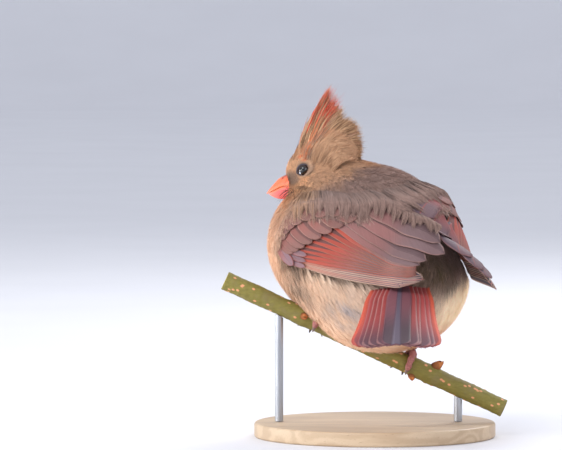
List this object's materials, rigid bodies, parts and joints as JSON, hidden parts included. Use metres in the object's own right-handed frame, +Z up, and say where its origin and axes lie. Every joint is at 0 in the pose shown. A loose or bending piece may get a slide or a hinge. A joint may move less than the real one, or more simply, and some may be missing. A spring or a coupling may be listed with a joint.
{
  "type": "northern cardinal on a perch",
  "caption": "Life-size female northern cardinal, fluffed up on a sloping cut branch, as a still display model on a round wooden base with short steel rods.",
  "frame": {"origin": "centre of the underside of the stand's round base", "axes": "+Z up, +X to the right and +Y away from the viewer of the main view, which sees the bird from behind and to its left"},
  "size_m": [0.1377, 0.1777, 0.1684],
  "materials": {
    "plumage_face": "matt ochre-brown face feathers, dark grey round the bill and eye",
    "plumage_mantle": "matt grey-brown back feathers, warm buff to cream below",
    "crest_feathers": "brown crest feathers with red-orange fronts and tips",
    "bill_horn": "satin coral-orange horn",
    "eye": "wet glossy near-black",
    "wing_feathers": "satin wing feathers, dusky rose with red-orange and pale edges",
    "tail_feathers": "satin tail feathers, dull red with grey centres and bright red sides",
    "foot_skin": "scaly pinkish skin with dark horn claws",
    "branch_bark": "smooth olive-green bark with raised tan lenticels",
    "stand_wood": "plain oiled wood",
    "stand_steel": "brushed steel rod"
  },
  "bodies": {
    "root": {"head": "plumage_face", "neck": "plumage_mantle", "torso": "plumage_mantle", "crest": "crest_feathers", "bill_upper": "bill_horn", "bill_lower": "bill_horn", "eye_left": "eye", "eye_right": "eye", "wing_left": "wing_feathers", "wing_right": "wing_feathers", "tail": "tail_feathers", "leg_left": "foot_skin", "leg_right": "foot_skin", "foot_left": "foot_skin", "foot_right": "foot_skin", "perch": "branch_bark", "stand_base": "stand_wood", "stand_rod_left": "stand_steel", "stand_rod_right": "stand_steel"}
  },
  "joints": []
}
